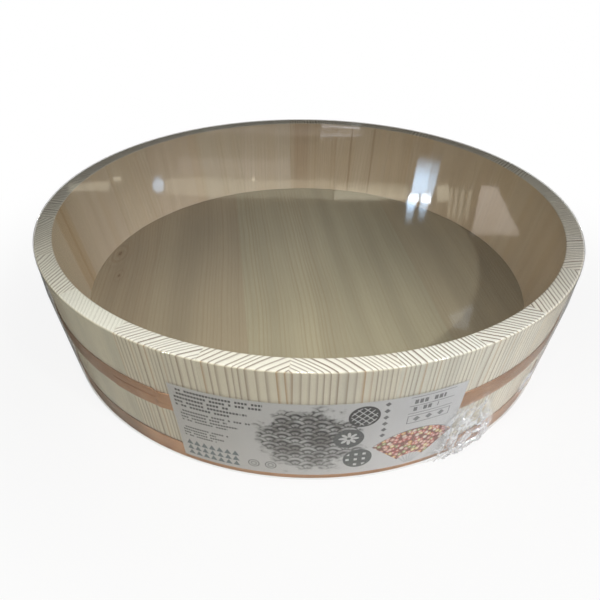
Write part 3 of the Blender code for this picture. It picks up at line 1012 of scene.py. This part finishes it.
def make_ring():
    """All the staves, each riding on the tub in place of its CAD node."""
    material = stave_material()
    section = stave_section()
    inner = inset_section(section, STAVE_BEVEL)
    total = sum(STAVE_WIDTHS)
    start = math.radians(RING_START_DEG)
    chance = random.Random(42)
    for number, (width, grain) in enumerate(zip(STAVE_WIDTHS, STAVE_GRAIN), 1):
        turn, reach, spacing, contrast, tone = grain
        angle = 2 * math.pi * width / total
        stave = make_stave(f"wood_stave_{number:02d}", start, angle, section, inner, material)
        middle = start + angle / 2
        # The pith lies square to the rings' run, outside the tub
        pith = polar(RIM_RADIUS, middle, 0) + polar(reach, middle + math.radians(turn), 0)
        # The grain runs up the slope of the wall, give or take
        sideways = chance.uniform(-GRAIN_LEAN, GRAIN_LEAN)
        lean = polar(WALL_SLOPE, middle, 0) + polar(sideways, middle + math.pi / 2, 0)
        look = (spacing, contrast, STAVE_SEED * number)
        add_attribute(stave, "pith", "FLOAT_VECTOR", pith)
        add_attribute(stave, "lean", "FLOAT_VECTOR", lean)
        add_attribute(stave, "grain", "FLOAT_VECTOR", look)
        add_attribute(stave, "tone", "FLOAT_COLOR", (*tone, 1.0))
        stand_for(stave, f"stave_{number:02d}", "tub")
        start += angle


# Floor boards and pegs


def closed_up(node, name, material):
    """A floor board of its CAD shape, a hair wider, so that the seams close up as in use."""
    bm = bmesh.new()
    bm.from_mesh(node.data)
    bm.transform(node.matrix_world)
    turn = Matrix.Rotation(-math.radians(BOARD_TURN_DEG), 4, "Z")
    bm.transform(turn)
    low = min(v.co.x for v in bm.verts)
    high = max(v.co.x for v in bm.verts)
    for v in bm.verts:
        if v.co.x < low + BOARD_SIDE:
            v.co.x -= BOARD_EASE
        if v.co.x > high - BOARD_SIDE:
            v.co.x += BOARD_EASE
    bm.transform(turn.inverted())
    return finish_mesh(name, bm, material)


def make_boards():
    """The floor boards, each of its CAD shape, a hair wider and with a wood of its own."""
    for number, looks in enumerate(BOARD_GRAIN, 1):
        node = f"floor_board_{number}"
        material = board_material(number, *looks)
        board = closed_up(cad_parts[node], f"wood_board_{number}", material)
        stand_for(board, node, "tub")


def dress_pegs():
    """The pegs keep their CAD shapes and get a material."""
    bamboo = bamboo_material()
    for name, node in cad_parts.items():
        if "_peg_" in name:
            for slot in node.material_slots:
                slot.material = bamboo


# Hoops


def hoop_stations(full_turn):
    """Sections of a hoop's strip, from its covered end to its tip.

    Each is (run, standoff, width, trim of the corners, thickness).
    """
    rise_start = full_turn - LAP_RISE_LENGTH
    shoulder = full_turn - LAP_SHOULDER_LENGTH
    tip = full_turn + LAP_TONGUE_LENGTH
    step = full_turn / HOOP_FACETS
    runs = [k * step for k in range(int(rise_start / step))]
    runs += [blend_value(rise_start, shoulder, k / 8) for k in range(9)]
    runs += [full_turn + (LAP_TONGUE_LENGTH - TONGUE_ROUND) * k / 10 for k in range(11)]
    runs += [tip - TONGUE_ROUND * 0.5, tip - TONGUE_ROUND * 0.15, tip]
    stations = []
    for run in runs:
        rise = smoothstep((run - rise_start) / (shoulder - rise_start))
        standoff = blend_value(HOOP_STANDOFF, LAP_STANDOFF, rise)
        left = min(max((tip - run) / TONGUE_ROUND, 0.0), 1.0)
        trim = TONGUE_TRIM * (1 - math.sqrt(1 - (1 - left) ** 2))
        width, thickness = HOOP_WIDTH, HOOP_THICKNESS
        if run >= full_turn:
            width, thickness = LAP_TONGUE_WIDTH, HOOP_THICKNESS * TONGUE_THINNING
        stations.append((run, standoff, width, trim, thickness))
    return stations


def strip_section(bottom, standoff, width, trim, thickness):
    """Section of the strip: flat, with its long edges rounded over. Points are (radius, z)."""
    soft = HOOP_EDGE_ROUND
    low, high = bottom + trim, bottom + width - trim
    outline = (
        (low, 0.30), (low, 0.70), (low + soft * 0.4, 0.92), (low + soft, 1.0),
        (blend_value(low, high, 0.3), 1.0), (blend_value(low, high, 0.7), 1.0),
        (high - soft, 1.0), (high - soft * 0.4, 0.92), (high, 0.70), (high, 0.30),
        (high - soft * 0.5, 0.04), (low + soft * 0.5, 0.04),
    )
    return [(outside_radius(z) + standoff + thickness * depth, z) for z, depth in outline]


def make_hoop(name, bottom, lap_deg, node, material):
    """A copper strip bent round the staves, its narrowed tongue lapped over its start."""
    full_turn = 2 * math.pi * outside_radius(bottom + HOOP_WIDTH / 2)
    mean_radius = full_turn / (2 * math.pi)
    bm = bmesh.new()
    uv = bm.loops.layers.uv.new("UVMap")
    loops = []
    for run, *strip in hoop_stations(full_turn):
        angle = math.radians(lap_deg) - run / mean_radius
        section = strip_section(bottom, *strip)
        loops.append([(bm.verts.new(polar(r, angle, z)), run, z - bottom) for r, z in section])
    for first, second in zip(loops, loops[1:]):
        for k in range(len(first)):
            after = (k + 1) % len(first)
            add_laid_face(bm, uv, (first[k], second[k], second[after], first[after]))
    add_laid_face(bm, uv, loops[0])
    add_laid_face(bm, uv, list(reversed(loops[-1])))
    bmesh.ops.recalc_face_normals(bm, faces=bm.faces)
    stand_for(finish_mesh(name, bm, material, 40.0), node, "tub")


# Label


def hoop_cover(z, bottom):
    """1 where a sheet lies on a hoop, falling to 0 a little above and below it."""
    below = smoothstep((z - bottom + SHEET_RUN_OUT) / SHEET_RUN_OUT)
    above = smoothstep((bottom + HOOP_WIDTH + SHEET_RUN_OUT - z) / SHEET_RUN_OUT)
    return below * above


def label_grid(bm, start, out):
    """One side of the label, as rows of (vertex, u, v), a little slack between the hoops."""
    sweep = LABEL_LENGTH / outside_radius(LABEL_BOTTOM + LABEL_HEIGHT / 2)
    grid = []
    for j in range(LABEL_ROWS + 1):
        v = LABEL_HEIGHT * j / LABEL_ROWS
        z = LABEL_BOTTOM + v
        on_hoop = max(hoop_cover(z, UPPER_HOOP_HEIGHT), hoop_cover(z, LOWER_HOOP_HEIGHT))
        line = []
        for i in range(LABEL_COLUMNS + 1):
            u = LABEL_LENGTH * i / LABEL_COLUMNS
            slack = (1 - on_hoop) * (LABEL_SLACK + 0.00012 * wave(u, v, 45.0, 1.0))
            slack += 0.00003 * wave(u, v, 110.0, 5.0)
            radius = outside_radius(z) + LABEL_STANDOFF + out - slack
            angle = start + sweep * i / LABEL_COLUMNS
            line.append((bm.verts.new(polar(radius, angle, z)), u, v))
        grid.append(line)
    return grid


def make_label():
    """The paper label, a thin closed sheet laid over both hoops."""
    full_turn = 2 * math.pi * outside_radius(UPPER_HOOP_HEIGHT + HOOP_WIDTH / 2)
    from_lap = (LAP_RISE_LENGTH + LABEL_PAST_LAP) / full_turn * 2 * math.pi
    start = math.radians(UPPER_LAP_DEG) + from_lap
    bm = bmesh.new()
    uv = bm.loops.layers.uv.new("UVMap")
    outer = label_grid(bm, start, LABEL_FACE)
    inner = label_grid(bm, start, LABEL_BACK)
    quads = []
    for grid in (outer, inner):
        for low, high in zip(grid, grid[1:]):
            quads += [(low[i], low[i + 1], high[i + 1], high[i]) for i in range(LABEL_COLUMNS)]
    for i in range(LABEL_COLUMNS):
        quads.append((outer[0][i], inner[0][i], inner[0][i + 1], outer[0][i + 1]))
        quads.append((outer[-1][i], outer[-1][i + 1], inner[-1][i + 1], inner[-1][i]))
    for j in range(LABEL_ROWS):
        quads.append((outer[j][0], outer[j + 1][0], inner[j + 1][0], inner[j][0]))
        quads.append((outer[j][-1], inner[j][-1], inner[j + 1][-1], outer[j + 1][-1]))
    for quad in quads:
        add_laid_face(bm, uv, quad)
    bmesh.ops.recalc_face_normals(bm, faces=bm.faces)
    label = finish_mesh("label_sheet", bm, label_material())
    stand_for(label, "paper_label", "tub")


# Film


def film_sheet(name, rows, material):
    """A thin shell, closed round the tub, through rows of (point, outward, crease)."""
    bm = bmesh.new()
    layer = bm.verts.layers.float.new("crease")
    skins = []
    for lift in (1.0, 0.0):
        grid = []
        for row in rows:
            line = []
            for point, outward, crease in row:
                vert = bm.verts.new(point + outward * FILM_SKIN * lift)
                vert[layer] = crease
                line.append(vert)
            grid.append(line)
        skins.append(grid)
    for grid in skins:
        bridge(bm, grid)
    outer, inner = skins
    count = len(rows[0])
    for i in range(count):
        after = (i + 1) % count
        bm.faces.new((outer[0][i], inner[0][i], inner[0][after], outer[0][after]))
        bm.faces.new((outer[-1][i], outer[-1][after], inner[-1][after], inner[-1][i]))
    bmesh.ops.recalc_face_normals(bm, faces=bm.faces)
    return finish_mesh(name, bm, material, 60.0)


def from_tail(angle, z):
    """Angle in degrees from the middle of the gathered tail, which leans to the left upwards."""
    middle = math.radians(TAIL_MIDDLE_DEG - TAIL_LEAN_DEG * z / TAIL_HEIGHT)
    return math.degrees((angle - middle + math.pi) % (2 * math.pi) - math.pi)


def tail_share(angle, z):
    """How far into the gathered tail a place on the skirt is, from 0 to 1."""
    across = smoothstep(1.5 * (1 - abs(from_tail(angle, 0.0)) / TAIL_HALF_DEG))
    if z < TAIL_CREST_HEIGHT:
        rise = smoothstep((z - SKIRT_BOTTOM) / (TAIL_CREST_HEIGHT - SKIRT_BOTTOM))
        up = TAIL_FOOT_SHARE + (1 - TAIL_FOOT_SHARE) * rise
    else:
        up = smoothstep((TAIL_HEIGHT - z) / (TAIL_HEIGHT - TAIL_CREST_HEIGHT))
    return across * up


def gathered(angle, z):
    """How creased the film is: most in the tail, and in a fan of pleats that runs up from it."""
    half = TAIL_HALF_DEG - TAIL_NARROWING_DEG * z / TAIL_HEIGHT
    run = (from_tail(angle, z) - 1.0) / (half + 1.5)
    across = smoothstep(1.8 * (1 - abs(run)))
    ragged = PLEAT_RAGGEDNESS * wave(run, 0.0, 2.3, 11.0)
    return across * smoothstep((PLEAT_HEIGHT + ragged - z) / PLEAT_FADE)


def side_fold(angle, z):
    """A small loose fold of the film beside the right end of the lower hoop, from 0 to 1."""
    across = abs(math.degrees(angle) - FOLD_DEG) / FOLD_HALF_DEG
    up = abs(z - FOLD_HEIGHT) / FOLD_HALF_HEIGHT
    return smoothstep(1.4 * (1 - math.hypot(across, up)))


def crumple(angle, z):
    """Ridged folds of the gathered film, from 0 in a valley to 1 on a sharp ridge."""
    x = angle * outside_radius(z)
    bend = 0.003 * wave(x, z, 90.0, 3.0)
    folds = 0.0
    weight = 0.50
    scale = 130.0
    for k in range(4):
        ridge = 1 - abs(wave(x + bend, z * (0.8 + 0.3 * k) + bend, scale, 7.0 + k))
        folds += weight * ridge ** 3
        weight *= 0.68
        scale *= 1.9
    return folds


def skirt_place(angle, z, neck, top):
    """A place on the skirt: its point, its outward direction and how creased it is."""
    drawn_in = (FILM_STANDOFF - SEAT_GAP) * max(0, (z - neck) / (top - neck))
    base = outside_radius(z) + FILM_STANDOFF - drawn_in
    share = tail_share(angle, z)
    pleats = gathered(angle, z)
    folds = crumple(angle, z) if pleats > 0 else 0.0
    loose = side_fold(angle, z)
    bulge = share * (TAIL_SWELL + CRUMPLE_DEPTH * (folds - 0.6))
    bulge += pleats * (1 - share) * PLEAT_DEPTH * folds + loose * FOLD_SWELL
    x, y = math.sin(angle) * 0.2, math.cos(angle) * 0.2 + z * 0.25
    pull = FILM_PULL * wave(x, y, 60.0, 2.0)
    room = smoothstep((top - z) / 0.012) * smoothstep((z - SKIRT_BOTTOM) / 0.004)
    radius = base + max(bulge, 0.0) + abs(pull) * room
    on_ridge = 0.08 + 0.92 * smoothstep((folds - 0.42) / 0.50)
    fold_edge = 4 * loose * (1 - loose)
    crease = min(1.0, pleats * on_ridge + 0.6 * fold_edge)
    return polar(radius, angle, z), polar(1, angle, 0), crease


def make_film_skirt(material):
    """The film round the outside: taut over the hoops, drawn in at the rim, gathered at the tail."""
    top = HEIGHT - COVER_LIP - FILM_SLIT
    neck = LABEL_BOTTOM + LABEL_HEIGHT + FILM_STANDOFF
    low, high = (math.radians(TAIL_MIDDLE_DEG + side * TAIL_REACH_DEG) for side in (-1, 1))
    round_again = low + 2 * math.pi
    angles = [blend_value(low, high, k / TAIL_COLUMNS) for k in range(TAIL_COLUMNS)]
    angles += [blend_value(high, round_again, k / PLAIN_COLUMNS) for k in range(PLAIN_COLUMNS)]
    levels = (SKIRT_BOTTOM, PLEAT_HEIGHT, neck, top)
    heights = [SKIRT_BOTTOM]
    for start, end, count in zip(levels, levels[1:], SKIRT_ROWS):
        heights += [blend_value(start, end, k / count) for k in range(1, count + 1)]
    rows = [[skirt_place(angle, z, neck, top) for angle in angles] for z in heights]
    stand_for(film_sheet("film_wrap", rows, material), "film_skirt", "tub")


def cover_path():
    """Section of the cover, outwards from its middle: (radius, height, turn of its outside)."""
    level = HEIGHT + SEAT_GAP
    edge = RIM_RADIUS + SEAT_GAP
    radii = [PIN_HOLE] + [0.2 * k / 40 for k in range(1, 41)]
    radii += [0.2035, 0.2065, RIM_RADIUS - COVER_BEND]
    path = [(radius, level, 0.0) for radius in radii]
    for k in range(1, 5):
        turn = math.pi / 2 * k / 5
        radius = edge - COVER_BEND + COVER_BEND * math.sin(turn)
        path.append((radius, level - COVER_BEND + COVER_BEND * math.cos(turn), turn))
    path.append((edge, HEIGHT - 0.0004, math.pi / 2))
    path.append((edge, HEIGHT - COVER_LIP, math.pi / 2))
    return path


def make_film_cover(material):
    """The film over the mouth, stretched flat, turned down over the rim's outer edge."""
    rows = []
    for radius, z, turn in cover_path():
        room = smoothstep((0.205 - radius) / 0.02)
        row = []
        for i in range(COVER_COLUMNS):
            angle = 2 * math.pi * i / COVER_COLUMNS
            x, y = radius * math.cos(angle), radius * math.sin(angle)
            dip = room * 0.00010 * wave(x, y, 14.0, 9.0)
            outward = polar(math.sin(turn), angle, math.cos(turn))
            row.append((polar(radius, angle, z + dip), outward, 0.0))
        rows.append(row)
    cover = film_sheet("film_over_mouth", rows, material)
    close_middle(cover)
    stand_for(cover, "film_cover", "mouth_film")


def close_middle(made):
    """Fills the pin hole that the innermost ring of points leaves."""
    bm = bmesh.new()
    bm.from_mesh(made.data)
    core = [v for v in bm.verts if math.hypot(v.co.x, v.co.y) < PIN_HOLE * 1.4]
    wall = [f for f in bm.faces if all(v in core for v in f.verts)]
    bmesh.ops.delete(bm, geom=wall, context="FACES_ONLY")
    heights = [v.co.z for v in core]
    middle = (min(heights) + max(heights)) / 2
    for upper in (True, False):
        ring = [v for v in core if (v.co.z > middle) == upper]
        ring.sort(key=lambda v: math.atan2(v.co.y, v.co.x))
        bm.faces.new(ring)
    bmesh.ops.recalc_face_normals(bm, faces=bm.faces)
    bm.to_mesh(made.data)
    bm.free()


# Floor, light and camera


def make_floor():
    """A pale floor that keeps the tub's shadow and goes to white away from it."""
    bm = bmesh.new()
    bmesh.ops.create_grid(bm, x_segments=8, y_segments=8, size=FLOOR_REACH)
    s = new_material("floor_paint")
    x, y, _ = s.separate(s.coordinates())
    tint = s.mix(s.noise(s.combine(x, y), 3.0), GROUND, GROUND_PALE)
    # The floor's left side is darker: painted shade, which also sends less light up onto the tub's
    # lower left
    colour = s.mix(s.fall(x, -0.24, -0.02) * 0.7, tint, GROUND_PAINTED_SHADE)
    lit = s.wire("ShaderNodeBsdfDiffuse", {"Color": colour})
    glow = s.wire("ShaderNodeEmission", {"Color": WHITE})
    away = s.step(s.length(x, y), 0.20, 0.42)
    share = s.ray("Is Camera Ray") * s.blend(away, FLOOR_GLOW, 1.0)
    paint = s.finish(s.mix_shaders(share, lit, glow))
    finish_mesh("floor", bm, paint)


def make_world():
    """White behind the tub for the camera, and a soft grey room for light and mirrors."""
    world = bpy.data.worlds.new("room")
    bpy.context.scene.world = world
    s = Nodes(world, "ShaderNodeOutputWorld")
    up = s.separate(s.coordinates("Generated"))[2]
    low = s.range(up, 0.05, 0.30, 1.0, 0.0, "SMOOTHSTEP")
    mirrored = s.mix(low, MIRRORED_ROOM, MIRRORED_HORIZON)
    room = s.mix(s.ray("Is Glossy Ray"), AMBIENT, mirrored)
    seen = s.mix(s.ray("Is Camera Ray"), room, WHITE)
    s.finish(s.wire("ShaderNodeBackground", {"Color": seen}))


def make_lights():
    """Soft spot lamps, which the camera doesn't see."""
    for name, place, target, watts, colour, cone_deg, soft_size in LAMPS:
        data = bpy.data.lights.new(name, "SPOT")
        data.energy = watts
        data.color = colour
        data.spot_size = math.radians(cone_deg)
        data.spot_blend = 1.0
        data.shadow_soft_size = soft_size
        lamp = bpy.data.objects.new(name, data)
        lamp.location = place
        direction = Vector(target) - Vector(place)
        lamp.rotation_euler = direction.to_track_quat("-Z", "Y").to_euler()
        lamp.visible_camera = False
        bpy.context.scene.collection.objects.link(lamp)


def make_reflection(name, corners, strength, colour, fade=None):
    """A lit panel of the room behind the tub, which shows only as a reflection in the film.

    Corners are (azimuth, height) angles in degrees, as the film's mirror image shows them. A fade
    gives the heights at which the panel's light is nothing and full.
    """
    mirrored = Vector((CAMERA_PLACE[0], CAMERA_PLACE[1], 2 * HEIGHT - CAMERA_PLACE[2]))
    bm = bmesh.new()
    bm.faces.new([bm.verts.new(mirrored + heading(*corner) * ROOM_REACH) for corner in corners])
    s = new_material(name)
    if fade is not None:
        none, full = (mirrored.z + ROOM_REACH * math.sin(math.radians(h)) for h in fade)
        strength = s.step(s.separate(s.coordinates())[2], none, full) * strength
    glow = s.wire("ShaderNodeEmission", {"Color": colour, "Strength": strength})
    panel = finish_mesh(name, bm, s.finish(glow), smooth=False)
    for ray in ("camera", "diffuse", "transmission", "shadow", "volume_scatter"):
        setattr(panel, f"visible_{ray}", False)


def oval(azimuth, height, half_width, half_height, count=14):
    """Corners of a round panel."""
    turns = [2 * math.pi * k / count for k in range(count)]
    return [(azimuth + half_width * math.cos(turn), height + half_height * math.sin(turn))
            for turn in turns]


def make_reflections():
    """What the photograph's film mirrors: ceiling lamps, a bright strip, shelves and a window."""
    panels = (
        ("lamp_1", oval(-15.1, 23.10, 0.60, 0.78), 2.0, BLUE),
        ("lamp_2", oval(10.62, 24.26, 0.50, 0.46), 14.0, COOL),
        ("lamp_3", oval(11.90, 24.14, 0.50, 0.46), 14.0, COOL),
        ("streak_left", ((10.30, 24.1), (11.78, 24.0), (12.25, 19.8), (10.75, 19.8)),
         4.3, BLUE, (19.9, 22.9)),
        ("streak_right", ((11.80, 24.0), (12.50, 23.9), (13.00, 19.8), (12.33, 19.8)),
         2.8, BLUE, (19.9, 22.9)),
        ("streak_below_2", ((10.0, 24.5), (10.9, 24.4), (10.7, 26.7), (10.1, 26.7)),
         6.8, BLUE, (26.7, 24.4)),
        ("streak_below_3", ((11.3, 24.5), (12.2, 24.4), (11.9, 26.5), (11.4, 26.6)),
         4.6, BLUE, (26.6, 24.4)),
        ("strip", ((-14.3, 22.6), (2.6, 23.0), (2.6, 24.9), (-14.5, 23.95)), 0.52, CREAM),
        ("strip_middle", ((2.7, 23.1), (9.9, 23.0), (10.0, 24.5), (2.7, 24.9)),
         1.25, CREAM, (22.4, 24.5)),
        ("strip_right", ((12.8, 22.8), (14.0, 22.6), (14.3, 24.1), (13.1, 24.25)), 1.05, CREAM),
        ("strip_left", ((-23.3, 22.0), (-19.6, 22.4), (-20.0, 23.3), (-23.7, 22.8)), 0.75, CREAM),
        ("spot_left", oval(-18.89, 22.16, 0.42, 0.20), 1.3, CREAM),
        ("spot_middle", oval(-5.72, 23.0, 0.20, 0.12), 2.6, CREAM),
        ("wall_band", ((-13.0, 20.8), (-1.9, 21.2), (-1.9, 22.9), (-13.3, 22.4)), 0.20, ROSE),
        ("top_band", ((-10.0, 18.15), (5.3, 18.2), (5.36, 18.95), (-10.1, 18.75)), 0.20, ROSE),
        ("top_glint", ((1.0, 18.2), (4.8, 18.05), (4.9, 19.0), (1.0, 19.1)), 2.6, COOL),
        ("window", ((17.1, 22.4), (18.6, 22.35), (21.5, 26.1), (17.1, 26.7)), 0.93, ROSE),
        ("low_patch", ((16.1, 34.3), (18.6, 33.1), (18.7, 35.7), (17.0, 35.6)), 0.90, COOL),
    )
    for panel in panels:
        make_reflection(*panel)
    shelves = ((14.24, 14.48), (14.73, 15.05), (15.30, 15.62), (16.03, 16.35))
    for number, (left, right) in enumerate(shelves, 1):
        shelf = ((left, 22.8), (right, 22.75), (right + 0.15, 25.7), (left + 0.12, 25.75))
        make_reflection(f"shelf_{number}", shelf, 0.66, CREAM)


def make_camera():
    """The photograph's camera, from a fit to the tub's outlines."""
    roll = math.radians(CAMERA_ROLL_DEG)
    forward = heading(CAMERA_YAW_DEG, -CAMERA_PITCH_DEG)
    level = forward.cross(Vector((0, 0, 1))).normalized()
    up = level.cross(forward)
    right = level * math.cos(roll) + up * math.sin(roll)
    upright = up * math.cos(roll) - level * math.sin(roll)
    data = bpy.data.cameras.new("camera")
    data.sensor_width = SENSOR_MM
    data.lens = CAMERA_FOCAL_PX * SENSOR_MM / IMAGE_PX
    data.clip_start = 0.01
    camera = bpy.data.objects.new("camera", data)
    turn = Matrix((right, upright, -forward)).transposed().to_4x4()
    camera.matrix_world = Matrix.Translation(CAMERA_PLACE) @ turn
    bpy.context.scene.collection.objects.link(camera)
    bpy.context.scene.camera = camera


make_ring()
make_boards()
dress_pegs()
copper = copper_material()
make_hoop("copper_hoop_upper", UPPER_HOOP_HEIGHT, UPPER_LAP_DEG, "upper_hoop", copper)
make_hoop("copper_hoop_lower", LOWER_HOOP_HEIGHT, LOWER_LAP_DEG, "lower_hoop", copper)
make_label()
make_film_skirt(film_material("film_wrap", 0.45))
make_film_cover(film_material("film_cover", 0.90))
make_floor()
make_world()
make_lights()
make_reflections()
make_camera()
bpy.context.scene.view_settings.view_transform = "Standard"
